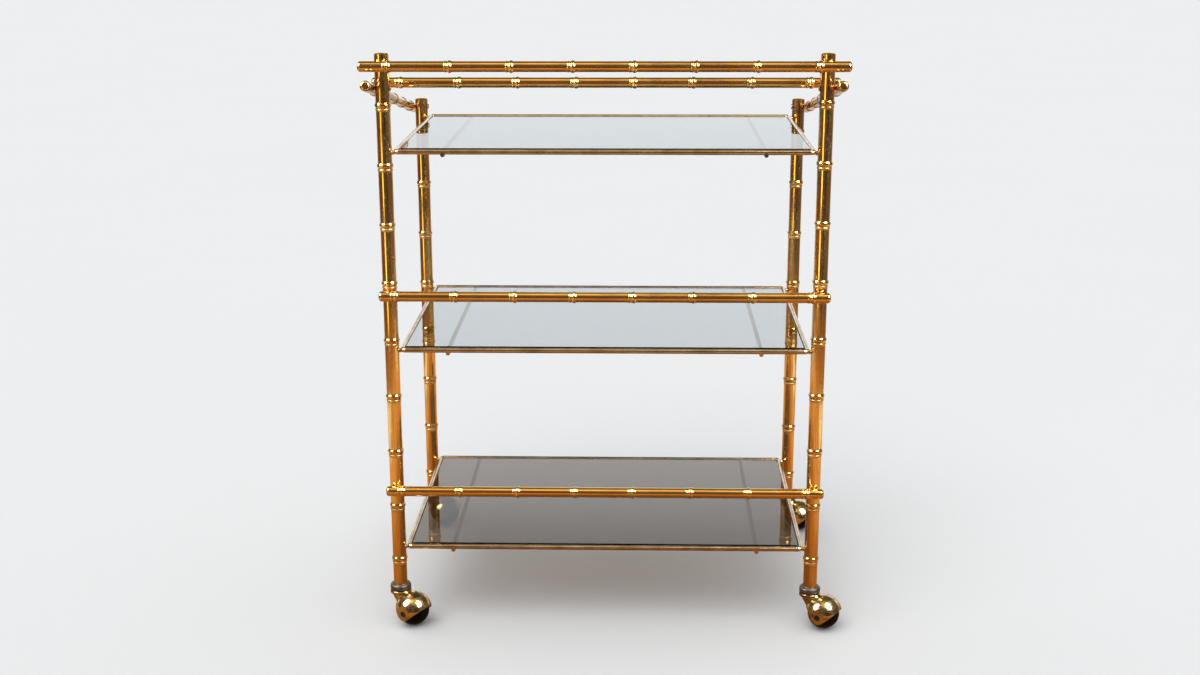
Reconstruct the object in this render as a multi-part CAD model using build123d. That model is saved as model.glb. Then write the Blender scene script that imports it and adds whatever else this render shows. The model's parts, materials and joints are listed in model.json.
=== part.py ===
from build123d import *
import math
import os

os.makedirs("parts", exist_ok=True)

# Layout of the cart, in millimetres: X to the right, Y to the back, Z up from the floor
post_spread = 580.0
post_depth = 369.0
front_post_top = 802.5
rear_post_step = 100.5
post_foot = 50.0
top_shelf_drop = 29.2
mid_shelf_level = 401.5
low_shelf_level = 114.3
front_top_rail_drop = 17.0
front_mid_rail_level = 480.0
front_low_rail_level = 202.0
side_rail_front_drop = 46.36
side_rail_rear_drop = 13.26
cross_rail_offset = 90.0
long_rail_overhang = 28.8
short_rail_overhang = 12.5
side_rail_overhang = 38.0

# Bamboo tubes: brass tube with swellings rolled in at an even pitch
node_pitch = 79.7
post_radius = 9.5
post_wall = 1.2
rail_radius = 7.0
rail_wall = 1.0
post_swell_height = 8.0
post_swell_rise = 1.45
post_lip_height = 3.8
post_lip_rise = 0.6
rail_swell_height = 7.0
rail_swell_rise = 1.25
rail_lip_height = 4.0
rail_lip_rise = 0.5
flare_share = 0.38
side_rail_first_node = 78.5

# Distance from each post's top down to its first swelling
first_node_drop = {"front_left": 68.2, "front_right": 64.5, "rear_left": 51.6, "rear_right": 50.2}

# End caps: a domed plug pressed into each open tube end
cap_fit = 0.05
cap_spigot_depth = 5.0
rail_cap_height = 4.0
rail_cap_rim = 0.5
rail_cap_flat_radius = 2.8
post_cap_height = 3.4
post_cap_rim = 1.4
post_cap_shoulder = 1.0
post_cap_shoulder_inset = 1.5

# Shelves: a round-rod frame, two support rods under it and a loose glass pane
frame_rod_radius = 3.5
frame_side_inset = 14.2
frame_front_overhang = 2.7
frame_corner_radius = 5.0
support_rod_radius = 3.0
support_rod_spread = 426.0
support_rod_sink = 3.6
support_rod_fall = 3.0
glass_thickness = 5.0
glass_side_gap = 0.8
glass_bed_gap = 0.05
glass_corner_radius = 2.0
glass_arris = 0.5
stud_radius = 2.9
stud_sink = 1.5
stud_bite = 1.5
frame_seat_gap = 0.05

# Screws that hold the rails to the posts and to each other
rail_seat_gap = 0.1
screw_radius = 2.0
screw_hole_gap = 0.1
screw_head_radius = 3.8
screw_head_height = 1.8
screw_bite = 4.0

# Casters: a collar and sleeve on the post, and a hooded ball wheel that swivels on a stem
collar_radius = 14.7
collar_height = 8.2
collar_top_round = 3.8
collar_foot_round = 1.2
collar_gap = 0.1
sleeve_length = 34.0
stem_radius = 4.0
stem_fit = 0.05
stem_reach = 30.0
stem_seat_depth = 6.0
stem_tip_chamfer = 1.0
swivel_gap = 1.2
flange_radius = 14.8
flange_thickness = 5.2
flange_edge_round = 0.8
flange_foot_round = 1.6
neck_radius = 13.4
neck_foot_radius = 12.5
neck_foot_depth = 20.5
neck_tilt = 48.8
caster_trail = 22.0
wheel_radius = 22.2
wheel_half_width = 20.5
hood_radius = 26.0
hood_wall = 1.6
hood_facet_radius = 11.5
tongue_radius = 10.0
hood_mouth_angle = 41.2
hood_stem_edge_angle = 58.0
hood_back_edge_rise = 8.0
hood_bend_round = 6.0
axle_radius = 3.0
axle_fit = 0.05
axle_head_radius = 4.4
axle_head_gap = 0.05
axle_recess = 0.9
hub_radius = 6.5
hub_side_gap = 0.3
caster_angle = {"front_left": -32.0, "front_right": -29.5, "rear_left": -27.0, "rear_right": -27.0}

# Places worked out from the sizes above
post_x = post_spread / 2
rear_post_top = front_post_top - rear_post_step
top_shelf_level = rear_post_top - top_shelf_drop
long_rail_length = post_spread + 2 * long_rail_overhang
short_rail_length = post_spread + 2 * short_rail_overhang
front_rail_y = -(post_radius + rail_seat_gap + rail_radius)
side_rail_x = post_x + post_radius + rail_seat_gap + rail_radius
side_rail_front_level = front_post_top - side_rail_front_drop
side_rail_rear_level = rear_post_top - side_rail_rear_drop
slope = math.atan((side_rail_front_level - side_rail_rear_level) / post_depth)
side_rail_span = (post_depth + 2 * side_rail_overhang) / math.cos(slope)
crossing_spread = 2 * rail_radius + rail_seat_gap
cross_rail_level = (
    side_rail_front_level - cross_rail_offset * math.tan(slope) + crossing_spread / math.cos(slope)
)
facet_offset = math.sqrt(hood_radius**2 - hood_facet_radius**2)
flange_top = post_foot - swivel_gap
flange_foot = flange_top - flange_thickness
stem_foot = flange_foot - stem_seat_depth
frame_width = post_spread - 2 * frame_side_inset
frame_depth = post_depth + 2 * frame_front_overhang
bed_slope = math.atan(support_rod_fall / frame_depth)
glass_rise = support_rod_radius + glass_bed_gap + glass_thickness
shelf_levels = {"top": top_shelf_level, "mid": mid_shelf_level, "low": low_shelf_level}
front_rails = {
    "front_top": (front_post_top - front_top_rail_drop, long_rail_length),
    "front_mid": (front_mid_rail_level, short_rail_length),
    "front_low": (front_low_rail_level, short_rail_length),
}
corners = {
    "front_left": (-post_x, 0.0, front_post_top),
    "front_right": (post_x, 0.0, front_post_top),
    "rear_left": (-post_x, post_depth, rear_post_top),
    "rear_right": (post_x, post_depth, rear_post_top),
}
sides = {"left": -1, "right": 1}


def side_rail_level(y):
    """Height of the side rails' axes at a distance behind the front posts."""
    return side_rail_front_level - y * math.tan(slope)


def swelling(radius, low, height, rise):
    """Three tangent arcs that swell a tube's outline out and back."""
    half = height / 2
    turn = 2 * math.atan(rise / half)
    both_radii = half / math.sin(turn)
    flare = flare_share * both_radii
    crown = both_radii - flare
    middle = low + half
    flare_mid = (radius + flare * (1 - math.cos(turn / 2)), flare * math.sin(turn / 2))
    flare_end = (radius + flare * (1 - math.cos(turn)), flare * math.sin(turn))
    foot = ThreePointArc(
        (radius, low), (flare_mid[0], low + flare_mid[1]), (flare_end[0], low + flare_end[1])
    )
    top = ThreePointArc(
        (flare_end[0], low + flare_end[1]),
        (radius + flare * (1 - math.cos(turn)) + crown * (1 - math.cos(turn)), middle),
        (flare_end[0], low + height - flare_end[1]),
    )
    head = ThreePointArc(
        (flare_end[0], low + height - flare_end[1]),
        (flare_mid[0], low + height - flare_mid[1]),
        (radius, low + height),
    )
    return [foot, top, head]


def bamboo_tube(radius, wall, length, nodes, swell, lip):
    """A tube standing on Z = 0, with a swelling and a lip under it at each node."""
    swell_height, swell_rise = swell
    lip_height, lip_rise = lip
    outline = []
    height = 0.0
    for node in sorted(nodes):
        lip_low = node - swell_height / 2 - lip_height
        outline.append(Line((radius, height), (radius, lip_low)))
        outline += swelling(radius, lip_low, lip_height, lip_rise)
        outline += swelling(radius, lip_low + lip_height, swell_height, swell_rise)
        height = lip_low + lip_height + swell_height
    bore = radius - wall
    outline.append(Line((radius, height), (radius, length)))
    outline.append(Line((radius, length), (bore, length)))
    outline.append(Line((bore, length), (bore, 0)))
    outline.append(Line((bore, 0), (radius, 0)))
    section = Plane.XZ * make_face(Wire(outline))
    return revolve(section, Axis.Z, 360)


def rail_cap():
    """A domed plug with a small flat at its middle, seated on Z = 0."""
    spigot = rail_radius - rail_wall - cap_fit
    rise = rail_cap_height - rail_cap_rim
    run = rail_radius - rail_cap_flat_radius
    outline = [
        Line((0, -cap_spigot_depth), (spigot, -cap_spigot_depth)),
        Line((spigot, -cap_spigot_depth), (spigot, 0)),
        Line((spigot, 0), (rail_radius, 0)),
        Line((rail_radius, 0), (rail_radius, rail_cap_rim)),
        ThreePointArc(
            (rail_radius, rail_cap_rim),
            (rail_cap_flat_radius + run * math.cos(math.pi / 4),
             rail_cap_rim + rise * math.sin(math.pi / 4)),
            (rail_cap_flat_radius, rail_cap_height),
        ),
        Line((rail_cap_flat_radius, rail_cap_height), (0, rail_cap_height)),
        Line((0, rail_cap_height), (0, -cap_spigot_depth)),
    ]
    return revolve(Plane.XZ * make_face(Wire(outline)), Axis.Z, 360)


def post_cap():
    """A low crowned plug with a chamfered shoulder, seated on Z = 0."""
    spigot = post_radius - post_wall - cap_fit
    shoulder = post_radius - post_cap_shoulder_inset
    shoulder_top = post_cap_rim + post_cap_shoulder
    crown = post_cap_height - shoulder_top
    crown_radius = (shoulder**2 + crown**2) / (2 * crown)
    half_turn = math.asin(shoulder / crown_radius) / 2
    crown_middle = (
        crown_radius * math.sin(half_turn),
        post_cap_height - crown_radius * (1 - math.cos(half_turn)),
    )
    outline = [
        Line((0, -cap_spigot_depth), (spigot, -cap_spigot_depth)),
        Line((spigot, -cap_spigot_depth), (spigot, 0)),
        Line((spigot, 0), (post_radius, 0)),
        Line((post_radius, 0), (post_radius, post_cap_rim)),
        Line((post_radius, post_cap_rim), (shoulder, shoulder_top)),
        ThreePointArc((shoulder, shoulder_top), crown_middle, (0, post_cap_height)),
        Line((0, post_cap_height), (0, -cap_spigot_depth)),
    ]
    return revolve(Plane.XZ * make_face(Wire(outline)), Axis.Z, 360)


def screw(length):
    """A round-headed screw along +Z, its head seated on Z = 0."""
    head = Cylinder(screw_head_radius, screw_head_height, align=(Align.CENTER, Align.CENTER, Align.MAX))
    head = fillet(head.edges().group_by(Axis.Z)[0], screw_head_height * 0.7)
    shank = Cylinder(screw_radius, length, align=(Align.CENTER, Align.CENTER, Align.MIN))
    return head + shank


def screw_hole(length):
    """The clearance hole for a screw, centred on its seat."""
    return Cylinder(screw_radius + screw_hole_gap, 2 * length)


# Placings that turn an upright tube to lie along X, or along a side rail
def along_x(x, y, z):
    return Pos(x, y, z) * Rot(0, 90, 0)


def along_side_rail(side, y):
    turn = -90 - math.degrees(slope)
    return Pos(side * side_rail_x, y, side_rail_level(y)) * Rot(turn, 0, 0)


# Where the screws sit: a placing whose +Z runs from the head into the rail
front_screws = {}
for rail_name, (level, length) in front_rails.items():
    front_screws[rail_name] = [
        Pos(side * post_x, post_radius, level) * Rot(90, 0, 0) for side in sides.values()
    ]
side_screws = {}
for side_name, side in sides.items():
    side_screws[side_name] = [
        Pos(side * (post_x - post_radius), y, side_rail_level(y)) * Rot(0, side * 90, 0)
        for y in (0.0, post_depth)
    ]
cross_screws = [
    Pos(side * side_rail_x, cross_rail_offset, cross_rail_level)
    * Rot(-math.degrees(slope), 0, 0)
    * Pos(0, 0, -crossing_spread - rail_radius)
    for side in sides.values()
]
post_screw_length = 2 * post_radius + rail_seat_gap + rail_wall + screw_bite
cross_screw_length = crossing_spread + rail_wall + screw_bite

parts = {}


# Posts, with their holes for the rail screws, and their caps
def post_tube(corner, gap=0.0):
    """A post in its place, or with a gap the fatter one that a stud's end is cut to."""
    x, y, top = corners[corner]
    tube_length = top - post_cap_height - post_foot
    first = top - first_node_drop[corner] - post_foot
    count = int((first - post_swell_height - post_lip_height - collar_height) // node_pitch) + 1
    nodes = [first - index * node_pitch for index in range(count)]
    tube = bamboo_tube(
        post_radius + gap, post_wall + gap, tube_length, nodes,
        (post_swell_height, post_swell_rise), (post_lip_height, post_lip_rise),
    )
    return Pos(x, y, post_foot) * tube


for corner, (x, y, top) in corners.items():
    post = post_tube(corner)
    side_name = corner.split("_")[1]
    holes = list(side_screws[side_name])
    for placings in front_screws.values():
        holes += placings
    for placing in holes:
        seat = placing.position
        if abs(seat.X - x) < 2 * post_radius and abs(seat.Y - y) < 2 * post_radius:
            post -= placing * screw_hole(post_screw_length)
    parts[corner + "_post"] = post
    parts[corner + "_post_cap"] = Pos(x, y, top - post_cap_height) * post_cap()

# Rails across the front, each with a plug in both ends
swell = (rail_swell_height, rail_swell_rise)
lip = (rail_lip_height, rail_lip_rise)


def level_rail(length, y, z):
    """A rail along X with evenly pitched nodes about its middle."""
    tube_length = length - 2 * rail_cap_height
    pitches = int(tube_length // node_pitch)
    start = (tube_length - pitches * node_pitch) / 2
    nodes = [start + index * node_pitch for index in range(pitches + 1)]
    tube = bamboo_tube(rail_radius, rail_wall, tube_length, nodes, swell, lip)
    return along_x(-tube_length / 2, y, z) * tube


def level_rail_caps(length, y, z):
    """The two end plugs of a rail along X."""
    reach = length / 2 - rail_cap_height
    right = along_x(reach, y, z) * rail_cap()
    left = Pos(-reach, y, z) * Rot(0, -90, 0) * rail_cap()
    return [left, right]


front_caps = []
front_screw_solids = []
for rail_name, (level, length) in front_rails.items():
    rail = level_rail(length, front_rail_y, level)
    for placing in front_screws[rail_name]:
        rail -= placing * screw_hole(post_screw_length)
        front_screw_solids.append(placing * screw(post_screw_length))
    parts[rail_name + "_rail"] = rail
    front_caps += level_rail_caps(length, front_rail_y, level)
parts["front_rail_caps"] = Compound(children=front_caps)
parts["front_rail_screws"] = Compound(children=front_screw_solids)

# Sloping side rails on the outer sides of the posts
side_caps = []
side_screw_solids = []
side_tube_length = side_rail_span - 2 * rail_cap_height
for side_name, side in sides.items():
    start = along_side_rail(side, -side_rail_overhang) * Pos(0, 0, rail_cap_height)
    first = side_rail_first_node - rail_cap_height
    count = int((side_tube_length - first) // node_pitch) + 1
    nodes = [first + index * node_pitch for index in range(count)]
    rail = start * bamboo_tube(rail_radius, rail_wall, side_tube_length, nodes, swell, lip)
    for placing in side_screws[side_name]:
        rail -= placing * screw_hole(post_screw_length)
        side_screw_solids.append(placing * screw(post_screw_length))
    for placing in cross_screws:
        rail -= placing * screw_hole(cross_screw_length)
    parts[side_name + "_side_rail"] = rail
    side_caps.append(start * Rot(180, 0, 0) * rail_cap())
    side_caps.append(start * Pos(0, 0, side_tube_length) * rail_cap())
parts["side_rail_caps"] = Compound(children=side_caps)
parts["side_rail_screws"] = Compound(children=side_screw_solids)

# Cross rail, resting on the two side rails
cross_rail = level_rail(long_rail_length, cross_rail_offset, cross_rail_level)
for placing in cross_screws:
    cross_rail -= placing * screw_hole(cross_screw_length)
parts["cross_rail"] = cross_rail
parts["cross_rail_caps"] = Compound(
    children=level_rail_caps(long_rail_length, cross_rail_offset, cross_rail_level)
)
parts["cross_rail_screws"] = Compound(
    children=[placing * screw(cross_screw_length) for placing in cross_screws]
)

# Shelves
shelf_y = post_depth / 2
corner_x = frame_width / 2 - frame_corner_radius
corner_y = frame_depth / 2 - frame_corner_radius
stud_run = (post_x - corner_x, corner_y - post_depth / 2)
stud_reach = math.hypot(*stud_run) - frame_corner_radius - frame_rod_radius + stud_bite


def frame_bars(level, radius=frame_rod_radius):
    """The four straight stretches of a shelf's rod, their seams on top."""
    long_bar = Rot(0, 90, 0) * Rot(0, 0, 180) * Cylinder(radius, 2 * corner_x)
    side_bar = Rot(90, 0, 0) * Rot(0, 0, 90) * Cylinder(radius, 2 * corner_y)
    middle = Pos(0, shelf_y, level)
    return [
        middle * Pos(0, -frame_depth / 2, 0) * long_bar,
        middle * Pos(0, frame_depth / 2, 0) * long_bar,
        middle * Pos(-frame_width / 2, 0, 0) * side_bar,
        middle * Pos(frame_width / 2, 0, 0) * side_bar,
    ]


def frame_corners(level, radius=frame_rod_radius):
    """The four rounded corners, each a quarter of a ring."""
    quarter = Torus(frame_corner_radius, radius, major_angle=90, align=None)
    middle = Pos(0, shelf_y, level)
    return [
        middle * Pos(corner_x, corner_y, 0) * quarter,
        middle * Pos(-corner_x, corner_y, 0) * Rot(0, 0, 90) * quarter,
        middle * Pos(-corner_x, -corner_y, 0) * Rot(0, 0, 180) * quarter,
        middle * Pos(corner_x, -corner_y, 0) * Rot(0, 0, 270) * quarter,
    ]


def on_bed(level):
    """A placing at the middle of the support rods, which fall a little towards the back."""
    middle = level - support_rod_sink - support_rod_fall / 2
    return Pos(0, shelf_y, middle) * Rot(-math.degrees(bed_slope), 0, 0)


def support_rods(level):
    """Two rods, let into the front bar's underside and laid against the back bar's."""
    length = frame_depth + 2 * frame_rod_radius
    rod = Rot(90, 0, 0) * Rot(0, 0, -90) * Cylinder(support_rod_radius, length)
    front_bar, back_bar = frame_bars(level, frame_rod_radius + frame_seat_gap)[:2]
    rods = []
    for side in sides.values():
        placing = on_bed(level) * Pos(side * support_rod_spread / 2, 0, 0)
        rods.append(placing * rod - front_bar - back_bar)
    return rods


def shelf_glass(level):
    """The pane, which lies on the support rods inside the frame."""
    width = frame_width - 2 * (frame_rod_radius + glass_side_gap)
    depth = frame_depth - 2 * (frame_rod_radius + glass_side_gap)
    pane = extrude(RectangleRounded(width, depth, glass_corner_radius), glass_thickness)
    pane = chamfer(pane.faces().sort_by(Axis.Z)[-1].edges(), glass_arris)
    return on_bed(level) * Pos(0, 0, support_rod_radius + glass_bed_gap) * pane


def corner_studs(level):
    """Short pins that join the frame's corners to the posts."""
    seat_radius = frame_rod_radius + frame_seat_gap
    seats = frame_bars(level, seat_radius) + frame_corners(level, seat_radius)
    studs = []
    for corner, (x, y, top) in corners.items():
        along = math.copysign(1, -x) * stud_run[0]
        across = stud_run[1] if y > 0 else -stud_run[1]
        turn = math.degrees(math.atan2(across, along))
        pin = Cylinder(stud_radius, stud_reach, align=(Align.CENTER, Align.CENTER, Align.MIN))
        pin = Pos(x, y, level - stud_sink) * Rot(0, 0, turn) * Rot(0, 90, 0) * pin
        pin -= Pos(x, y, level) * Cylinder(post_radius + frame_seat_gap, 4 * stud_radius)
        pin -= post_tube(corner, frame_seat_gap)
        for seat in seats:
            pin -= seat
        studs.append(pin)
    return studs


for shelf_name, level in shelf_levels.items():
    rods = frame_bars(level) + frame_corners(level)
    parts[shelf_name + "_shelf_frame"] = rods[0].fuse(*rods[1:])
    parts[shelf_name + "_support_rods"] = Compound(children=support_rods(level))
    parts[shelf_name + "_shelf_glass"] = shelf_glass(level)
    parts[shelf_name + "_corner_studs"] = Compound(children=corner_studs(level))


# Casters, modelled about the stem's axis with the wheel trailing along +X and its axle along Y
def collar():
    """The dark ring round the foot of the post."""
    ring = Cylinder(collar_radius, collar_height, align=(Align.CENTER, Align.CENTER, Align.MIN))
    ring = fillet(ring.edges().group_by(Axis.Z)[-1], collar_top_round)
    ring = fillet(ring.edges().group_by(Axis.Z)[0], collar_foot_round)
    bore = Cylinder(post_radius + collar_gap, 3 * collar_height)
    return Pos(0, 0, post_foot) * (ring - bore)


def sleeve():
    """The liner that fills the post's foot and carries the stem."""
    outer = Cylinder(post_radius - post_wall - cap_fit, sleeve_length,
                     align=(Align.CENTER, Align.CENTER, Align.MIN))
    bore = Cylinder(stem_radius + stem_fit, 3 * sleeve_length)
    return Pos(0, 0, post_foot) * (outer - bore)


def stem():
    """The steel pin that stands in the caster's neck and turns in the sleeve."""
    length = post_foot + stem_reach - stem_foot
    pin = Cylinder(stem_radius, length, align=(Align.CENTER, Align.CENTER, Align.MIN))
    pin = chamfer(pin.edges().group_by(Axis.Z)[-1], stem_tip_chamfer)
    return Pos(0, 0, stem_foot) * pin


def hood_outline():
    """Side outline of the hood about the axle: the tongue's arc, its two edges and the edge below the neck."""
    mouth = math.radians(hood_mouth_angle)
    stem_edge = math.radians(180 - hood_stem_edge_angle)
    far = 4 * hood_radius
    mouth_foot = Vector(math.sin(mouth), -math.cos(mouth)) * tongue_radius
    stem_foot = Vector(-math.sin(stem_edge), math.cos(stem_edge)) * tongue_radius
    mouth_far = mouth_foot + Vector(math.cos(mouth), math.sin(mouth)) * far
    run = (hood_back_edge_rise - stem_foot.Y) / math.sin(stem_edge)
    stem_bend = stem_foot + Vector(math.cos(stem_edge), math.sin(stem_edge)) * run
    lines = [
        Line(stem_foot, stem_bend),
        Line(stem_bend, (-far, hood_back_edge_rise)),
        Line((-far, hood_back_edge_rise), (-far, far)),
        Line((-far, far), mouth_far),
        Line(mouth_far, mouth_foot),
        ThreePointArc(mouth_foot, Vector(0, -tongue_radius), stem_foot),
    ]
    outline = make_face(Wire(lines))
    return fillet(outline.vertices().sort_by_distance(stem_bend)[0], hood_bend_round)


def ball(radius, half_width):
    """A sphere with a flat at each end of the axle."""
    return Sphere(radius) & Box(3 * radius, 2 * half_width, 3 * radius)


def axle_bore(radius):
    return Rot(90, 0, 0) * Cylinder(radius, 4 * hood_radius)


def hood():
    """The brass hood over the wheel, with its neck and the round flange that bears under the post."""
    centre = Pos(caster_trail, 0, wheel_radius)
    keep = centre * extrude(Plane.XZ * hood_outline(), 2 * hood_radius, both=True)
    shell = centre * ball(hood_radius, facet_offset) & keep
    flange = Cylinder(flange_radius, flange_thickness, align=(Align.CENTER, Align.CENTER, Align.MIN))
    flange = fillet(flange.edges().group_by(Axis.Z)[-1], flange_edge_round)
    flange = fillet(flange.edges().group_by(Axis.Z)[0], flange_foot_round)
    neck_top = Pos(0, 0, flange_foot + flange_foot_round) * Circle(neck_radius)
    neck_foot = centre * Rot(0, -neck_tilt, 0) * Pos(0, 0, neck_foot_depth) * Circle(neck_foot_radius)
    neck = loft([neck_top, neck_foot]) & keep
    body = shell + (Pos(0, 0, flange_foot) * flange) + neck
    body -= centre * ball(hood_radius - hood_wall, facet_offset - hood_wall)
    body -= centre * axle_bore(axle_head_radius)
    seat = Cylinder(stem_radius, 2 * post_foot, align=(Align.CENTER, Align.CENTER, Align.MIN))
    return body - Pos(0, 0, stem_foot) * seat


def axle():
    """The pin across the hood, with a head sunk in each side."""
    head_reach = facet_offset - axle_recess
    pin = Rot(90, 0, 0) * Cylinder(axle_radius, 2 * (facet_offset - hood_wall))
    heads = Rot(90, 0, 0) * Cylinder(axle_head_radius - axle_head_gap, 2 * head_reach)
    heads -= Box(3 * hub_radius, 2 * (facet_offset - hood_wall), 3 * hub_radius)
    return Pos(caster_trail, 0, wheel_radius) * (pin + heads)


def wheel():
    """The ball wheel, with a hub at each side that keeps it central in the hood."""
    hub = Rot(90, 0, 0) * Cylinder(hub_radius, 2 * (facet_offset - hood_wall - hub_side_gap))
    body = ball(wheel_radius, wheel_half_width) + hub
    body -= axle_bore(axle_radius + axle_fit)
    return Pos(caster_trail, 0, wheel_radius) * body


for corner, (x, y, top) in corners.items():
    place = Pos(x, y, 0)
    turned = place * Rot(0, 0, caster_angle[corner])
    parts[corner + "_post_collar"] = place * collar()
    parts[corner + "_stem_sleeve"] = place * sleeve()
    parts[corner + "_caster_stem"] = turned * stem()
    parts[corner + "_caster_hood"] = turned * hood()
    parts[corner + "_caster_axle"] = turned * axle()
    parts[corner + "_caster_wheel"] = turned * wheel()

# The origin is under the middle of the whole cart, on the floor
whole = Compound(children=[Compound(part.wrapped) for part in parts.values()])
box = whole.bounding_box()
to_origin = Pos(-box.center().X, -box.center().Y, -box.min.Z)
for name, part in parts.items():
    export_step(to_origin * part, "parts/" + name + ".step")

shift = to_origin.position
print("nodes", len(parts), "shift", shift)
print("size", box.size)
print("pane normal", round(math.sin(bed_slope), 6), round(math.cos(bed_slope), 6))
for shelf_name, level in shelf_levels.items():
    face = (to_origin * on_bed(level) * Pos(0, 0, glass_rise)).position
    print(shelf_name, "shelf level", level, "pane top", round(face.Y, 4), round(face.Z, 4))
for corner, (x, y, top) in corners.items():
    turn = math.radians(caster_angle[corner])
    print(corner, "stem axis", round(x + shift.X, 3), round(y + shift.Y, 3))
    centre_x = x + shift.X + caster_trail * math.cos(turn)
    centre_y = y + shift.Y + caster_trail * math.sin(turn)
    print("   wheel centre", round(centre_x, 3), round(centre_y, 3), wheel_radius + shift.Z)
    print("   axle direction", round(-math.sin(turn), 5), round(math.cos(turn), 5))
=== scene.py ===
import json
import math

import bpy
from mathutils import Matrix, Vector


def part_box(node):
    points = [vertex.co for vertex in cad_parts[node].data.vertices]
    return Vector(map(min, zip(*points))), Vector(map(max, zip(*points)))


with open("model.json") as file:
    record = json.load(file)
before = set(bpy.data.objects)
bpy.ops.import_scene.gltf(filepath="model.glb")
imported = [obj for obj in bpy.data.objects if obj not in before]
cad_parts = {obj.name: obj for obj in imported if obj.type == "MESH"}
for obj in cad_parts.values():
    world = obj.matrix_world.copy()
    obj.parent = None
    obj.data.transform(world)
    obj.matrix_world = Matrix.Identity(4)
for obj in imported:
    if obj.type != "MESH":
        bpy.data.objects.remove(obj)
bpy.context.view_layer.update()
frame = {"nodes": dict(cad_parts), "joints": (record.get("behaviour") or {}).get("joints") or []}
scene = bpy.context.scene
corners = ("front_left", "front_right", "rear_left", "rear_right")
shelves = ("top", "mid", "low")
upward = (0.0, 0.0, 1.0)
print("frame loaded:", len(frame["nodes"]), "nodes")

# Camera, in front of the cart and a little above it
cameraSettings = {
    "place": (0.0379, -2.2582, 0.9782),
    "pitchDown": 0.263,
    "turn": 0.025,
    "roll": -0.002,
    "lens": 47.44,
    "sensor": 36.0,
    "clipStart": 0.05,
    "clipEnd": 200.0,
}


def makeCamera(s):
    data = bpy.data.cameras.new("camera")
    data.lens = s["lens"]
    data.sensor_width = s["sensor"]
    data.clip_start = s["clipStart"]
    data.clip_end = s["clipEnd"]
    camera = bpy.data.objects.new("camera", data)
    scene.collection.objects.link(camera)
    turn = Matrix.Rotation(s["turn"], 4, "Z")
    pitch = Matrix.Rotation(math.pi / 2 - s["pitchDown"], 4, "X")
    roll = Matrix.Rotation(s["roll"], 4, "Z")
    camera.matrix_world = Matrix.Translation(s["place"]) @ turn @ pitch @ roll
    scene.camera = camera


makeCamera(cameraSettings)
scene.view_settings.view_transform = "Standard"
print("camera placed")


# One number inside a material, so that shader maths reads as an expression
class Channel:
    def __init__(self, recipe, socket):
        self.recipe = recipe
        self.socket = socket

    def __add__(self, other):
        return self.recipe.maths("ADD", self, other)

    def __radd__(self, other):
        return self.recipe.maths("ADD", other, self)

    def __sub__(self, other):
        return self.recipe.maths("SUBTRACT", self, other)

    def __rsub__(self, other):
        return self.recipe.maths("SUBTRACT", other, self)

    def __mul__(self, other):
        return self.recipe.maths("MULTIPLY", self, other)

    def __rmul__(self, other):
        return self.recipe.maths("MULTIPLY", other, self)

    def __truediv__(self, other):
        return self.recipe.maths("DIVIDE", self, other)

    def __rtruediv__(self, other):
        return self.recipe.maths("DIVIDE", other, self)

    def __abs__(self):
        return self.recipe.maths("ABSOLUTE", self, 0.0)


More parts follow.
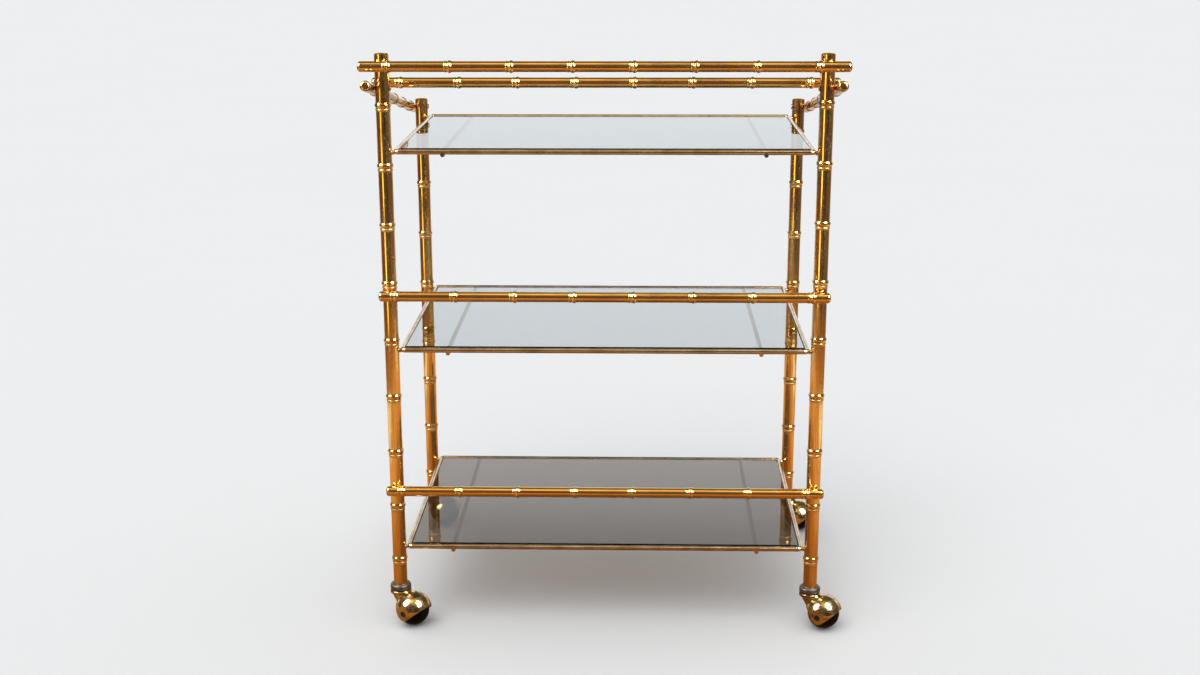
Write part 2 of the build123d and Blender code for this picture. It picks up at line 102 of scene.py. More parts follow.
# A material, or the world, while it is put together
class Recipe:
    def __init__(self, owner):
        owner.use_nodes = True
        self.owner = owner
        self.tree = owner.node_tree
        self.tree.nodes.clear()

    def add(self, kind, settings=None, sockets=None, out=0):
        node = self.tree.nodes.new("ShaderNode" + kind)
        for key, value in (settings or {}).items():
            setattr(node, key, value)
        for key, value in (sockets or {}).items():
            if isinstance(value, Channel):
                self.tree.links.new(value.socket, node.inputs[key])
            elif node.inputs[key].type == "RGBA":
                node.inputs[key].default_value = (*value[:3], 1.0)
            else:
                node.inputs[key].default_value = value
        return Channel(self, node.outputs[out]) if node.outputs else None

    def maths(self, operation, first, second):
        return self.add("Math", {"operation": operation}, {0: first, 1: second})

    def highest(self, first, second):
        return self.maths("MAXIMUM", first, second)

    # From one value to another while the input goes from low to high
    def span(self, value, low, high, atLow=0.0, atHigh=1.0):
        return self.add(
            "MapRange", {"interpolation_type": "SMOOTHSTEP"},
            {"Value": value, "From Min": low, "From Max": high, "To Min": atLow, "To Max": atHigh},
        )

    def fade(self, value, low, high, most=1.0):
        return self.span(value, low, high, most, 0.0)

    def blend(self, share, first, second):
        return self.add("Mix", {"data_type": "RGBA"}, {0: share, 6: first, 7: second}, out=2)

    def vector(self, operation, first, second):
        return self.add("VectorMath", {"operation": operation}, {0: first, 1: second})

    def scaled(self, vector, share):
        return self.add("VectorMath", {"operation": "SCALE"}, {0: vector, "Scale": share})

    def dot(self, first, second):
        return self.add("VectorMath", {"operation": "DOT_PRODUCT"}, {0: first, 1: second}, out="Value")

    def length(self, vector):
        return self.add("VectorMath", {"operation": "LENGTH"}, {0: vector}, out="Value")

    def place(self):
        return self.add("TexCoord", out="Object")

    def facingUp(self):
        return self.dot(self.add("TexCoord", out="Normal"), upward)

    def clouds(self, vector, m):
        if m["stretch"]:
            vector = self.vector("MULTIPLY", vector, m["stretch"])
        return self.add("TexNoise", None, {
            "Vector": vector,
            "Scale": m["scale"],
            "Detail": m["detail"],
            "Roughness": m["roughness"],
            "Distortion": m["distortion"],
        })

    def mask(self, vector, m):
        return self.span(self.clouds(vector, m), m["low"], m["high"])

    def specks(self, vector, m):
        distance = self.add("TexVoronoi", None, {"Vector": vector, "Scale": m["scale"]}, out="Distance")
        return self.fade(distance, m["core"], m["rim"])

    # A base value plus each named mask times its weight
    def total(self, weights, masks):
        result = weights["base"]
        for name, channel in masks.items():
            result = result + channel * weights[name]
        return result

    def bump(self, height, s):
        return self.add("Bump", None, {
            "Height": height, "Distance": s["bumpDepth"], "Strength": s["bumpStrength"],
        })

    def coat(self, s, colour, rough, height, metallic=0.0):
        return self.surface(self.add("BsdfPrincipled", None, {
            "Base Color": colour,
            "Metallic": metallic,
            "Roughness": rough,
            "Specular IOR Level": s["specular"],
            "Normal": self.bump(height, s),
        }))

    def surface(self, shader):
        self.add("OutputMaterial", None, {"Surface": shader})
        return self.owner


# Cloud pattern; low and high are the levels between which it turns into a mask
def cloudy(scale, detail, roughness=0.5, distortion=0.0, low=0.0, high=1.0, stretch=None):
    return {
        "scale": scale,
        "detail": detail,
        "roughness": roughness,
        "distortion": distortion,
        "low": low,
        "high": high,
        "stretch": stretch,
    }


# Cloud pattern drawn out along a tube, in waves per metre across and along it
def drawnOut(across, along, detail, roughness, distortion, low, high):
    return {"across": across, "along": along, **cloudy(1.0, detail, roughness, distortion, low, high)}


def newRecipe(name):
    return Recipe(bpy.data.materials.new(name))


def dress(nodeName, material):
    data = frame["nodes"][nodeName].data
    data.materials.clear()
    data.materials.append(material)


# Where a tube's axis runs, and how its rings are spaced along it
ringSearch = {"crestBand": 0.0001, "leastPitch": 0.02}


def tubeLine(nodeName, direction):
    low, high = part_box(nodeName)
    middle = (low + high) / 2
    aim = Vector(direction).normalized()
    reach = []
    for vertex in frame["nodes"][nodeName].data.vertices:
        offset = vertex.co - middle
        along = offset.dot(aim)
        reach.append(((offset - aim * along).length, along))
    crest = max(reach)[0] - ringSearch["crestBand"]
    marks = []
    for radius, along in sorted(reach, key=lambda pair: pair[1]):
        if radius > crest and (not marks or along - marks[-1] > ringSearch["leastPitch"]):
            marks.append(along)
    pitch = (marks[-1] - marks[0]) / (len(marks) - 1)
    return {"middle": middle, "aim": aim, "first": marks[0], "pitch": pitch}


# Aged polished brass of the bamboo tubes: streaks along the tube, dirt beside the rings
tubeBrassSettings = {
    "bright": (0.91, 0.56, 0.19),
    "deep": (0.72, 0.395, 0.105),
    "brown": (0.12, 0.070, 0.040),
    "grey": (0.42, 0.35, 0.265),
    "dirt": (0.032, 0.018, 0.010),
    "fine": drawnOut(420.0, 5.0, 4.0, 0.6, 0.5, low=0.49, high=0.58),
    "broad": drawnOut(150.0, 13.0, 5.0, 0.7, 0.3, low=0.50, high=0.58),
    "flecks": drawnOut(900.0, 130.0, 4.0, 0.7, 0.0, low=0.52, high=0.66),
    "hairs": drawnOut(2600.0, 26.0, 2.0, 0.5, 0.0, low=0.56, high=0.72),
    "patches": cloudy(11.0, 4.0, 0.55, low=0.38, high=0.66),
    "smears": cloudy(46.0, 3.0, 0.6, 1.2, low=0.45, high=0.70),
    "pits": {"scale": 420.0, "core": 0.06, "rim": 0.17},
    "pitted": cloudy(31.0, 2.0, low=0.52, high=0.66),
    "broken": cloudy(260.0, 3.0),
    "dents": cloudy(90.0, 2.0),
    "fineShare": 0.6,
    "agedShare": {"base": 0.45, "patches": 0.55},
    "paleShare": {"base": 0.10, "broad": 0.90},
    "brokenShare": {"base": 0.05, "broken": 1.1},
    "deepCover": 0.75,
    "greyCover": 0.9,
    "dirtCover": 0.8,
    "dirtUnmetal": 0.5,
    "paleUnmetal": 0.65,
    "agedUnmetal": 0.2,
    "rough": {
        "base": 0.075, "smears": 0.06, "aged": 0.12, "hairs": 0.03, "dirt": 0.2, "pits": 0.2, "pale": 0.2,
    },
    "roughest": 0.6,
    "relief": {"base": 0.0, "streaks": -0.25, "hairs": -0.12, "pits": -0.9, "dents": 1.3},
    "bumpDepth": 0.00012,
    "bumpStrength": 0.55,
    "specular": 0.5,
}
# High up the tubes the polish is browner with tarnish; near the floor the brass is brighter and cleaner,
# partly a painted reflection of the warm floor below
heightTarnishAndSheen = {"from": 0.30, "to": 0.52, "least": 0.38}
# Rings: a swelling with a lip below it, and how much duller the lip is
postRing = {"swell": 0.0080, "lip": 0.0038, "crease": 0.0010, "dull": 0.22}
railRing = {"swell": 0.0070, "lip": 0.0040, "crease": 0.0011, "dull": 0.02}
ringDirt = {"foot": 0.35, "lipCore": 0.35, "lipRim": 0.6}


# Dirt lies in the crease between lip and swelling, and a little at the feet of both
def ringMasks(r, travel, line, ring):
    step = r.maths("FRACT", (travel - line["first"]) / line["pitch"] + 0.5, 0.0)
    fromRing = (step - 0.5) * line["pitch"]
    swell, lip = ring["swell"], ring["lip"]
    crease = r.fade(abs(fromRing + swell / 2), 0.0, ring["crease"])
    lipFoot = r.fade(abs(fromRing + swell / 2 + lip), 0.0, ring["crease"], ringDirt["foot"])
    swellFoot = r.fade(abs(fromRing - swell / 2), 0.0, ring["crease"], ringDirt["foot"])
    fromLip = abs(fromRing + (swell + lip) / 2)
    onLip = r.fade(fromLip, lip * ringDirt["lipCore"], lip * ringDirt["lipRim"])
    return r.highest(crease, r.highest(lipFoot, swellFoot)), onLip


def makeTubeBrass(name, line, ring, tarnish):
    s = tubeBrassSettings
    r = newRecipe(name)
    offset = r.vector("SUBTRACT", r.place(), line["middle"])
    travel = r.dot(offset, line["aim"])
    along = r.scaled(line["aim"], travel)
    across = r.vector("SUBTRACT", offset, along)

    def lengthwise(m):
        return r.mask(r.vector("ADD", r.scaled(across, m["across"]), r.scaled(along, m["along"])), m)

    broad = lengthwise(s["broad"])
    streaks = r.highest(lengthwise(s["fine"]) * s["fineShare"], broad)
    flecks = lengthwise(s["flecks"])
    hairs = lengthwise(s["hairs"])
    patches = r.mask(offset, s["patches"])
    smears = r.mask(offset, s["smears"])
    pits = r.specks(offset, s["pits"]) * r.mask(offset, s["pitted"])
    dents = r.clouds(offset, s["dents"])
    broken = r.clouds(offset, s["broken"])
    ringDust, onLip = ringMasks(r, travel, line, ring)
    dirt = ringDust * r.total(s["brokenShare"], {"broken": broken})
    height = r.dot(r.place(), upward)
    # Less tarnish low down, partly painted reflection brightening the lower tubes
    worn = r.span(height, heightTarnishAndSheen["from"], heightTarnishAndSheen["to"], heightTarnishAndSheen["least"], 1.0)
    aged = streaks * r.total(s["agedShare"], {"patches": patches}) * worn * tarnish
    pale = flecks * r.total(s["paleShare"], {"broad": broad}) * worn * tarnish
    colour = r.blend(patches * s["deepCover"] * worn, s["bright"], s["deep"])
    colour = r.blend(aged, colour, s["brown"])
    colour = r.blend(pale * s["greyCover"], colour, s["grey"])
    colour = r.blend(r.highest(dirt, pits) * s["dirtCover"], colour, s["dirt"])
    rough = r.total(s["rough"], {
        "smears": smears, "aged": aged, "hairs": hairs, "dirt": dirt, "pits": pits, "pale": pale,
    })
    relief = r.total(s["relief"], {"streaks": streaks, "hairs": hairs, "pits": pits, "dents": dents})
    stained = r.highest(pale * s["paleUnmetal"], aged * s["agedUnmetal"])
    metallic = 1.0 - r.highest(r.highest(dirt, pits) * s["dirtUnmetal"], stained)
    rough = r.maths("MINIMUM", rough + onLip * ring["dull"], s["roughest"])
    return r.coat(s, colour, rough, relief, metallic)


sideSlope = math.radians(10.35)
tarnishSettings = {"post": 0.95, "level": 0.5, "side": 0.8}
for corner in corners:
    post = corner + "_post"
    line = tubeLine(post, (0, 0, 1))
    dress(post, makeTubeBrass("aged_brass_" + post, line, postRing, tarnishSettings["post"]))
for rail in ("front_top_rail", "front_mid_rail", "front_low_rail", "cross_rail"):
    line = tubeLine(rail, (1, 0, 0))
    dress(rail, makeTubeBrass("aged_brass_" + rail, line, railRing, tarnishSettings["level"]))
for side in ("left", "right"):
    rail = side + "_side_rail"
    line = tubeLine(rail, (0, math.cos(sideSlope), -math.sin(sideSlope)))
    dress(rail, makeTubeBrass("aged_brass_" + rail, line, railRing, tarnishSettings["side"]))
print("posts and rails dressed")

# Plain brass of rods, caps and screws, without rings
plainBrassKinds = {
    "frame": {"bright": (0.68, 0.55, 0.39), "deep": (0.44, 0.31, 0.185), "rough": 0.15, "tarnish": 0.75},
    "cap": {"bright": (0.84, 0.55, 0.19), "deep": (0.52, 0.29, 0.09), "rough": 0.16, "tarnish": 0.8},
    "screw": {"bright": (0.74, 0.48, 0.19), "deep": (0.36, 0.22, 0.09), "rough": 0.28, "tarnish": 0.9},
}
plainBrassSettings = {
    "dirt": (0.05, 0.03, 0.016),
    "patches": cloudy(38.0, 4.0, 0.6, low=0.40, high=0.66),
    "freckles": cloudy(520.0, 3.0, 0.6, low=0.55, high=0.75),
    "wipes": cloudy(1.0, 3.0, low=0.45, high=0.72, stretch=(40.0, 40.0, 300.0)),
    "dents": cloudy(160.0, 2.0),
    "freckleCover": 0.5,
    "freckleUnmetal": 0.3,
    "rough": {"base": 0.0, "wipes": 0.07, "freckles": 0.15},
    "relief": {"base": 0.0, "dents": 1.0, "freckles": -0.5},
    "bumpDepth": 0.0001,
    "bumpStrength": 0.5,
    "specular": 0.5,
}


def makePlainBrass(name, kind):
    s = plainBrassSettings
    r = newRecipe(name)
    place = r.place()
    patches = r.mask(place, s["patches"])
    freckles = r.mask(place, s["freckles"])
    wipes = r.mask(place, s["wipes"])
    dents = r.clouds(place, s["dents"])
    colour = r.blend(patches * kind["tarnish"], kind["bright"], kind["deep"])
    colour = r.blend(freckles * s["freckleCover"] * kind["tarnish"], colour, s["dirt"])
    rough = kind["rough"] + r.total(s["rough"], {"wipes": wipes, "freckles": freckles})
    relief = r.total(s["relief"], {"dents": dents, "freckles": freckles})
    return r.coat(s, colour, rough, relief, 1.0 - freckles * s["freckleUnmetal"])


frameBrass = makePlainBrass("pale_frame_brass", plainBrassKinds["frame"])
capBrass = makePlainBrass("cap_brass", plainBrassKinds["cap"])
screwBrass = makePlainBrass("screw_brass", plainBrassKinds["screw"])
for shelf in shelves:
    dress(shelf + "_shelf_frame", frameBrass)
    dress(shelf + "_support_rods", frameBrass)
    dress(shelf + "_corner_studs", frameBrass)
for corner in corners:
    dress(corner + "_post_cap", capBrass)
for group in ("front", "side", "cross"):
    dress(group + "_rail_caps", capBrass)
    dress(group + "_rail_screws", screwBrass)
print("rods, caps and screws dressed")

# Smoked glass: tinted slabs with polished faces, ground edges and faint wipe marks
# One smoked glass tinted per shelf as painted light and shade: the mid pane paler, the low pane dark and
# warm as painted shade from under the cart
litAndShadedGlassTints = {
    "top": (0.405, 0.438, 0.448),
    "mid": (0.50, 0.545, 0.56),
    "low": (0.200, 0.158, 0.128),
}
glassSettings = {
    "edge": (0.006, 0.010, 0.016),
    "edgeFacing": (0.5, 0.95),
    "wipes": cloudy(1.0, 4.0, 0.6, 1.5, low=0.50, high=0.75, stretch=(5.0, 16.0, 5.0)),
    "specks": {"scale": 330.0, "core": 0.03, "rim": 0.09},
    "dusty": cloudy(18.0, 2.0, low=0.50, high=0.70),
    "waves": cloudy(9.0, 1.0),
    "rough": {"base": 0.004, "wipes": 0.02, "dust": 0.12, "edge": 0.25},
    "bumpDepth": 0.0004,
    "bumpStrength": 0.12,
    "ior": 1.52,
    "shadowPasses": 0.35,
}


def makeSmokedGlass(name, tint):
    s = glassSettings
    r = newRecipe(name)
    place = r.place()
    wipes = r.mask(place, s["wipes"])
    dust = r.specks(place, s["specks"]) * r.mask(place, s["dusty"])
    edge = r.fade(abs(r.facingUp()), *s["edgeFacing"])
    glass = r.add("BsdfPrincipled", None, {
        "Base Color": r.blend(edge, tint, s["edge"]),
        "Roughness": r.total(s["rough"], {"wipes": wipes, "dust": dust, "edge": edge}),
        "IOR": s["ior"],
        "Transmission Weight": 1.0,
        "Normal": r.bump(r.clouds(place, s["waves"]), s),
    })
    passes = s["shadowPasses"]
    clear = r.add("BsdfTransparent", None, {"Color": [passes + (1 - passes) * part for part in tint]})
    shadowed = r.add("LightPath", out="Is Shadow Ray")
    return r.surface(r.add("MixShader", None, {0: shadowed, 1: glass, 2: clear}))


for shelf in shelves:
    dress(shelf + "_shelf_glass", makeSmokedGlass("smoked_glass_" + shelf, litAndShadedGlassTints[shelf]))
print("glass dressed")

# Casters: mottled bright hoods with dirt round the axle heads and under the flange
hoodSettings = {
    "bright": (0.76, 0.60, 0.30),
    "deep": (0.34, 0.24, 0.11),
    "dirt": (0.035, 0.020, 0.012),
    "recess": (0.0044, 0.0062),
    "creaseHeight": 0.044,
    "creaseReach": 0.0012,
    "creaseMost": 0.7,
    "broken": cloudy(330.0, 3.0),
    "patches": cloudy(95.0, 5.0, 0.65, low=0.44, high=0.60),
    "freckles": cloudy(700.0, 3.0, 0.6, low=0.54, high=0.70),
    "hairs": cloudy(1.0, 2.0, low=0.58, high=0.70, stretch=(300.0, 2200.0, 900.0)),
    "dents": cloudy(110.0, 3.0),
    "brokenShare": {"base": 0.4, "broken": 0.8},
    "freckleShare": {"base": 0.35, "patches": 0.65},
    "deepCover": 0.8,
    "dirtCover": 0.9,
    "freckleCover": 0.6,
    "dirtUnmetal": 0.4,
    "rough": {"base": 0.09, "patches": 0.06, "freckles": 0.12, "hairs": 0.04, "dirt": 0.25},
    "relief": {"base": 0.0, "dents": 1.0, "freckles": -0.6, "hairs": -0.1},
    "bumpDepth": 0.00022,
    "bumpStrength": 0.5,
    "specular": 0.5,
}


def makeHoodBrass(name, centre, axle):
    s = hoodSettings
    r = newRecipe(name)
    place = r.place()
    offset = r.vector("SUBTRACT", place, centre)
    fromAxle = r.length(r.vector("SUBTRACT", offset, r.scaled(axle, r.dot(offset, axle))))
    recess = r.fade(fromAxle, *s["recess"])
    fromCrease = abs(r.dot(place, upward) - s["creaseHeight"])
    crease = r.fade(fromCrease, 0.0, s["creaseReach"], s["creaseMost"])
    broken = r.total(s["brokenShare"], {"broken": r.clouds(place, s["broken"])})
    dirt = r.highest(recess, crease) * broken
    patches = r.mask(place, s["patches"])
    freckles = r.mask(place, s["freckles"]) * r.total(s["freckleShare"], {"patches": patches})
    hairs = r.mask(place, s["hairs"])
    dents = r.clouds(place, s["dents"])
    colour = r.blend(patches * s["deepCover"], s["bright"], s["deep"])
    soiled = r.highest(dirt * s["dirtCover"], freckles * s["freckleCover"])
    colour = r.blend(soiled, colour, s["dirt"])
    rough = r.total(s["rough"], {"patches": patches, "freckles": freckles, "hairs": hairs, "dirt": dirt})
    relief = r.total(s["relief"], {"dents": dents, "freckles": freckles, "hairs": hairs})
    return r.coat(s, colour, rough, relief, 1.0 - dirt * s["dirtUnmetal"])


# Black wheels, scuffed and gritty along the tread
wheelSettings = {
    "black": (0.0025, 0.0025, 0.003),
    "worn": (0.010, 0.0095, 0.009),
    "dust": (0.035, 0.031, 0.027),
    "band": (0.004, 0.011),
    "scuffs": cloudy(240.0, 4.0, 0.65, low=0.50, high=0.68),
    "grit": cloudy(900.0, 2.0, low=0.56, high=0.70),
    "scuffCover": 0.6,
    "gritCover": 0.45,
    "rough": {"base": 0.24, "scuffs": 0.14, "band": 0.18},
    "relief": {"base": 0.0, "scuffs": 1.0, "grit": 0.4},
    "bumpDepth": 0.0002,
    "bumpStrength": 0.5,
    "specular": 0.06,
}


def makeWheelPlastic(name, centre, axle):
    s = wheelSettings
    r = newRecipe(name)
    place = r.place()
    band = r.fade(abs(r.dot(r.vector("SUBTRACT", place, centre), axle)), *s["band"])
    scuffs = r.mask(place, s["scuffs"])
    grit = r.mask(place, s["grit"])
    colour = r.blend(scuffs * s["scuffCover"] * band, s["black"], s["worn"])
    colour = r.blend(grit * band * s["gritCover"], colour, s["dust"])
    rough = r.total(s["rough"], {"scuffs": scuffs, "band": band})
    return r.coat(s, colour, rough, r.total(s["relief"], {"scuffs": scuffs, "grit": grit}))


# Dark collars, lighter on what faces up: partly dust, partly painted sheen
collarSettings = {
    "brown": (0.038, 0.025, 0.018),
    "grey": (0.100, 0.074, 0.058),
    "dust": (0.20, 0.165, 0.135),
    "mottle": cloudy(150.0, 4.0, 0.6, low=0.40, high=0.68),
    "grain": cloudy(1300.0, 2.0, low=0.45, high=0.70),
    "dustAndSheenFacing": (0.3, 0.9),
    "dustAndSheenShare": {"base": 0.25, "mottle": 0.5},
    "greyCover": 0.75,
    "dustAndSheenCover": 0.6,
    "rough": {"base": 0.30, "mottle": 0.14, "dusty": 0.16},
    "relief": {"base": 0.0, "grain": 0.4, "mottle": 1.0},
    "bumpDepth": 0.0002,
    "bumpStrength": 0.45,
    "specular": 0.75,
}


def makeCollarPlastic(name):
    s = collarSettings
    r = newRecipe(name)
    place = r.place()
    mottle = r.mask(place, s["mottle"])
    grain = r.mask(place, s["grain"])
    # Upward faces made lighter: dust and painted sheen
    dusty = r.span(r.facingUp(), *s["dustAndSheenFacing"]) * r.total(s["dustAndSheenShare"], {"mottle": mottle})
    colour = r.blend(mottle * s["greyCover"], s["brown"], s["grey"])
    colour = r.blend(dusty * s["dustAndSheenCover"], colour, s["dust"])
    rough = r.total(s["rough"], {"mottle": mottle, "dusty": dusty})
    return r.coat(s, colour, rough, r.total(s["relief"], {"grain": grain, "mottle": mottle}))


# Steel of stems and axles, brushed and stained
steelKinds = {
    "stem": {"light": (0.62, 0.60, 0.57), "dark": (0.30, 0.25, 0.20), "rough": 0.22},
    "axle": {"light": (0.085, 0.062, 0.048), "dark": (0.030, 0.021, 0.016), "rough": 0.38},
}
steelSettings = {
    "brushed": cloudy(1.0, 3.0, low=0.35, high=0.70, stretch=(90.0, 90.0, 1400.0)),
    "stains": cloudy(300.0, 4.0, 0.6, low=0.50, high=0.70),
    "stainCover": 0.7,
    "stainUnmetal": 0.35,
    "rough": {"base": 0.0, "brushed": 0.12, "stains": 0.2},
    "relief": {"base": 0.0, "brushed": 1.0, "stains": -0.5},
    "bumpDepth": 0.00008,
    "bumpStrength": 0.5,
    "specular": 0.5,
}


def makeSteel(name, kind):
    s = steelSettings
    r = newRecipe(name)
    place = r.place()
    masks = {"brushed": r.mask(place, s["brushed"]), "stains": r.mask(place, s["stains"])}
    colour = r.blend(masks["stains"] * s["stainCover"], kind["light"], kind["dark"])
    rough = kind["rough"] + r.total(s["rough"], masks)
    metallic = 1.0 - masks["stains"] * s["stainUnmetal"]
    return r.coat(s, colour, rough, r.total(s["relief"], masks), metallic)


# Dark grainy plastic of the sleeves
linerSettings = {
    "dark": (0.02, 0.02, 0.021),
    "light": (0.045, 0.043, 0.04),
    "grain": cloudy(800.0, 3.0),
    "rough": {"base": 0.5, "grain": 0.15},
    "bumpDepth": 0.0001,
    "bumpStrength": 0.4,
    "specular": 0.5,
}


def makeLiner(name):
    s = linerSettings
    r = newRecipe(name)
    grain = r.clouds(r.place(), s["grain"])
    colour = r.blend(grain, s["dark"], s["light"])
    return r.coat(s, colour, r.total(s["rough"], {"grain": grain}), grain)


collarPlastic = makeCollarPlastic("collar_plastic")
stemSteel = makeSteel("stem_steel", steelKinds["stem"])
axleSteel = makeSteel("axle_steel", steelKinds["axle"])
linerPlastic = makeLiner("liner_plastic")
joints = {joint["name"]: joint for joint in frame["joints"]}
for corner in corners:
    spin = joints[corner + "_wheel_spin"]
    centre, axle = Vector(spin["pos_m"]), Vector(spin["axis"])
    dress(corner + "_caster_hood", makeHoodBrass("hood_brass_" + corner, centre, axle))
    dress(corner + "_caster_wheel", makeWheelPlastic("wheel_plastic_" + corner, centre, axle))
    dress(corner + "_post_collar", collarPlastic)
    dress(corner + "_stem_sleeve", linerPlastic)
    dress(corner + "_caster_stem", stemSteel)
    dress(corner + "_caster_axle", axleSteel)
print("casters dressed")

# Plain pale floor; what polished metal mirrors below is a glowing warm card instead, a painted reflection
# of a rug with painted shade under the cart
floorSettings = {"half": 40.0, "albedo": (0.815, 0.825, 0.83), "darker": 0.985, "shade": cloudy(1.3, 3.0)}
cardSettings = {
    "depth": 0.001,
    "half": 2.6,
    "centre": (0.0, -0.18, 0.0),
    "ragged": 0.26,
    "raggedAside": 0.2,
    # Darkest under the cart: painted shade
    "under": (0.22, 0.095, 0.030),
    "near": (0.46, 0.205, 0.055),
    "warm": (0.80, 0.47, 0.19),
    "far": (0.42, 0.215, 0.095),
    "pale": (1.10, 1.12, 1.12),
    "underToNear": (0.20, 0.42),
    "nearToWarm": (0.50, 0.85),
    "warmToFar": (1.0, 1.5),
    "paleAside": (0.92, 1.10),
    "paleEnds": (1.25, 1.45),
    "cardEnds": (1.72, 2.07),
    "patches": cloudy(2.3, 4.0, 0.55),
}


def makeSquare(name, half, height):
    data = bpy.data.meshes.new(name)
    ends = [(-half, -half), (half, -half), (half, half), (-half, half)]
    data.from_pydata([(x, y, height) for x, y in ends], [], [(0, 1, 2, 3)])
    sheet = bpy.data.objects.new(name, data)
    scene.collection.objects.link(sheet)
    return sheet


def makeFloor(s):
    floor = makeSquare("floor", s["half"], 0.0)
    r = newRecipe("pale_floor")
    darker = [part * s["darker"] for part in s["albedo"]]
    colour = r.blend(r.clouds(r.place(), s["shade"]), darker, s["albedo"])
    matt = r.add("BsdfPrincipled", None, {
        "Base Color": colour, "Roughness": 1.0, "Specular IOR Level": 0.0,
    })
    floor.data.materials.append(r.surface(matt))
    floor.visible_glossy = False


def makeCard(s):
    card = makeSquare("reflection_card", s["half"], -s["depth"])
    r = newRecipe("reflection_card")
    place = r.place()
    uneven = r.clouds(place, s["patches"]) - 0.5
    fromFront = r.length(r.vector("SUBTRACT", place, s["centre"])) + uneven * s["ragged"]
    colour = r.blend(r.span(fromFront, *s["underToNear"]), s["under"], s["near"])
    colour = r.blend(r.span(fromFront, *s["nearToWarm"]), colour, s["warm"])
    colour = r.blend(r.span(fromFront, *s["warmToFar"]), colour, s["far"])
    aside = abs(r.dot(place, (1.0, 0.0, 0.0))) + uneven * s["raggedAside"]
    pale = r.span(aside, *s["paleAside"]) * r.fade(fromFront, *s["paleEnds"])
    colour = r.blend(pale, colour, s["pale"])
    glow = r.add("BsdfPrincipled", None, {
        "Base Color": (0.0, 0.0, 0.0),
        "Specular IOR Level": 0.0,
        "Emission Color": colour,
        "Emission Strength": 1.0,
    })
    clear = r.add("BsdfTransparent")
    outside = r.span(fromFront, *s["cardEnds"])
    card.data.materials.append(r.surface(r.add("MixShader", None, {0: outside, 1: glow, 2: clear})))
    for ray in ("camera", "diffuse", "transmission", "volume_scatter", "shadow"):
        setattr(card, "visible_" + ray, False)


makeFloor(floorSettings)
makeCard(cardSettings)

# Soft studio light: a broad sun for matte things, tall oval boxes for sparks on the metal
lampSettings = {
    "left": {"toward": (-0.71, -0.35, 0.61), "wide": 1.15, "tall": 1.75, "glow": 16.0},
    "right": {"toward": (0.58, -0.47, 0.67), "wide": 1.25, "tall": 1.75, "glow": 16.0},
    "rightLow": {"toward": (0.66, -0.60, 0.42), "wide": 0.36, "tall": 0.36, "glow": 12.0},
}
lampReach = 2.3
lampAim = Vector((0.0, 0.0, 0.45))
sunSettings = {"toward": (-0.25, -0.45, 0.86), "strength": 1.15, "spread": math.radians(50.0)}
roomSettings = {
    "seen": (0.862, 0.875, 0.885),
    "fill": (0.73, 0.735, 0.74),
    "front": (0.115, 0.078, 0.055),
    "left": (0.20, 0.075, 0.030),
    "leftToFront": (-0.75, -0.2),
    "dark": (0.035, 0.028, 0.024),
    "darkTurn": math.radians(-62.0),
    "darkBand": (0.93, 0.985),
    "right": (0.170, 0.130, 0.105),
    "frontToRight": (0.45, 0.80),
    "stripe": (2.7, 2.4, 0.65),
    "stripeTurn": math.radians(-128.0),
    "stripeBand": (0.982, 0.996),
    "stripeEnds": (-0.04, 0.02),
    "high": (0.17, 0.145, 0.115),
    "lowToHigh": (0.12, 0.70),
    "ceilingGlow": (1.25, 0.89, 0.44),
    "ceilingToward": (0.02, -0.35, 0.935),
    "ceilingBand": (0.925, 0.985),
    "wall": (1.06, 1.10, 1.13),
    "wallFoot": (0.56, 0.56, 0.56),
    "wallBand": (0.45, 0.78),
    "wallEnds": (0.30, 0.50),
    "footToWall": (-0.12, 0.02),
}


def makeLamp(name, s):
    data = bpy.data.lights.new(name, "AREA")
    data.shape = "ELLIPSE"
    data.size = s["wide"]
    data.size_y = s["tall"]
    data.energy = s["glow"] * math.pi * math.pi * s["wide"] * s["tall"] / 4
    lamp = bpy.data.objects.new(name, data)
    scene.collection.objects.link(lamp)
    toward = Vector(s["toward"]).normalized()
    lamp.location = lampAim + toward * lampReach
    lamp.rotation_euler = (-toward).to_track_quat("-Z", "Y").to_euler()
    for ray in ("camera", "diffuse", "transmission"):
        setattr(lamp, "visible_" + ray, False)


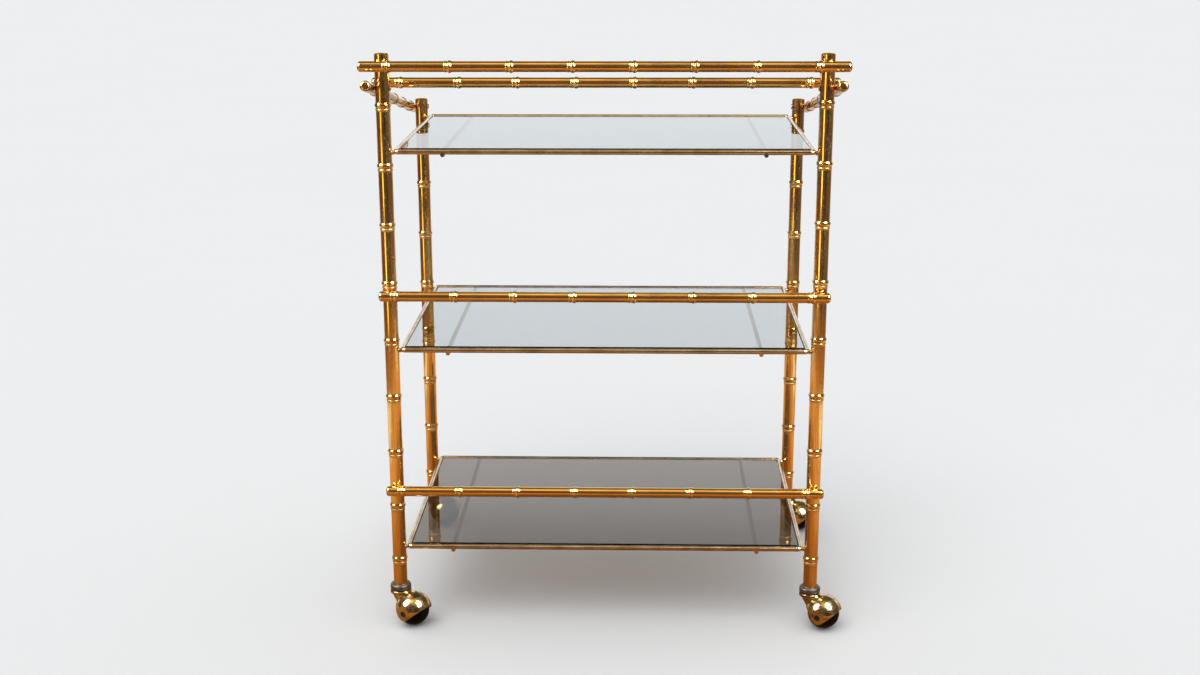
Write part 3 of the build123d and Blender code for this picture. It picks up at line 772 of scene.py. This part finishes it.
def makeSun(s):
    data = bpy.data.lights.new("sun", "SUN")
    data.energy = s["strength"]
    data.angle = s["spread"]
    sun = bpy.data.objects.new("sun", data)
    scene.collection.objects.link(sun)
    sun.rotation_euler = (-Vector(s["toward"])).to_track_quat("-Z", "Y").to_euler()
    sun.visible_glossy = False
    sun.visible_transmission = False


# Mirror rays see a room with a pale wall behind; other rays see even light
def makeRoom(s):
    world = bpy.data.worlds.new("studio")
    scene.world = world
    r = Recipe(world)
    direction = r.add("TexCoord", out="Generated")
    rise = r.dot(direction, upward)
    back = r.dot(direction, (0.0, 1.0, 0.0))
    side = r.dot(direction, (1.0, 0.0, 0.0))
    flat = r.vector("MULTIPLY", direction, (1.0, 1.0, 0.0))
    level = r.vector("NORMALIZE", flat, (0.0, 0.0, 0.0))

    def nearness(turn):
        return r.dot(level, (math.cos(turn), math.sin(turn), 0.0))

    colour = r.blend(r.span(side, *s["leftToFront"]), s["left"], s["front"])
    colour = r.blend(r.span(nearness(s["darkTurn"]), *s["darkBand"]), colour, s["dark"])
    colour = r.blend(r.span(side, *s["frontToRight"]), colour, s["right"])
    stripe = r.span(nearness(s["stripeTurn"]), *s["stripeBand"]) * r.fade(rise, *s["stripeEnds"])
    colour = r.blend(stripe, colour, s["stripe"])
    colour = r.blend(r.span(rise, *s["lowToHigh"]), colour, s["high"])
    ceiling = r.dot(direction, Vector(s["ceilingToward"]).normalized())
    colour = r.blend(r.span(ceiling, *s["ceilingBand"]), colour, s["ceilingGlow"])
    wall = r.span(back, *s["wallBand"]) * r.fade(rise, *s["wallEnds"])
    colour = r.blend(wall, colour, r.blend(r.span(rise, *s["footToWall"]), s["wallFoot"], s["wall"]))
    colour = r.blend(r.add("LightPath", out="Is Glossy Ray"), s["fill"], colour)
    seen = r.highest(r.add("LightPath", out="Is Camera Ray"), r.add("LightPath", out="Is Transmission Ray"))
    colour = r.blend(seen, colour, s["seen"])
    r.add("OutputWorld", None, {"Surface": r.add("Background", None, {"Color": colour})})


for lampName, lampValues in lampSettings.items():
    makeLamp(lampName, lampValues)
makeSun(sunSettings)
makeRoom(roomSettings)
print("floor, lamps and room ready")
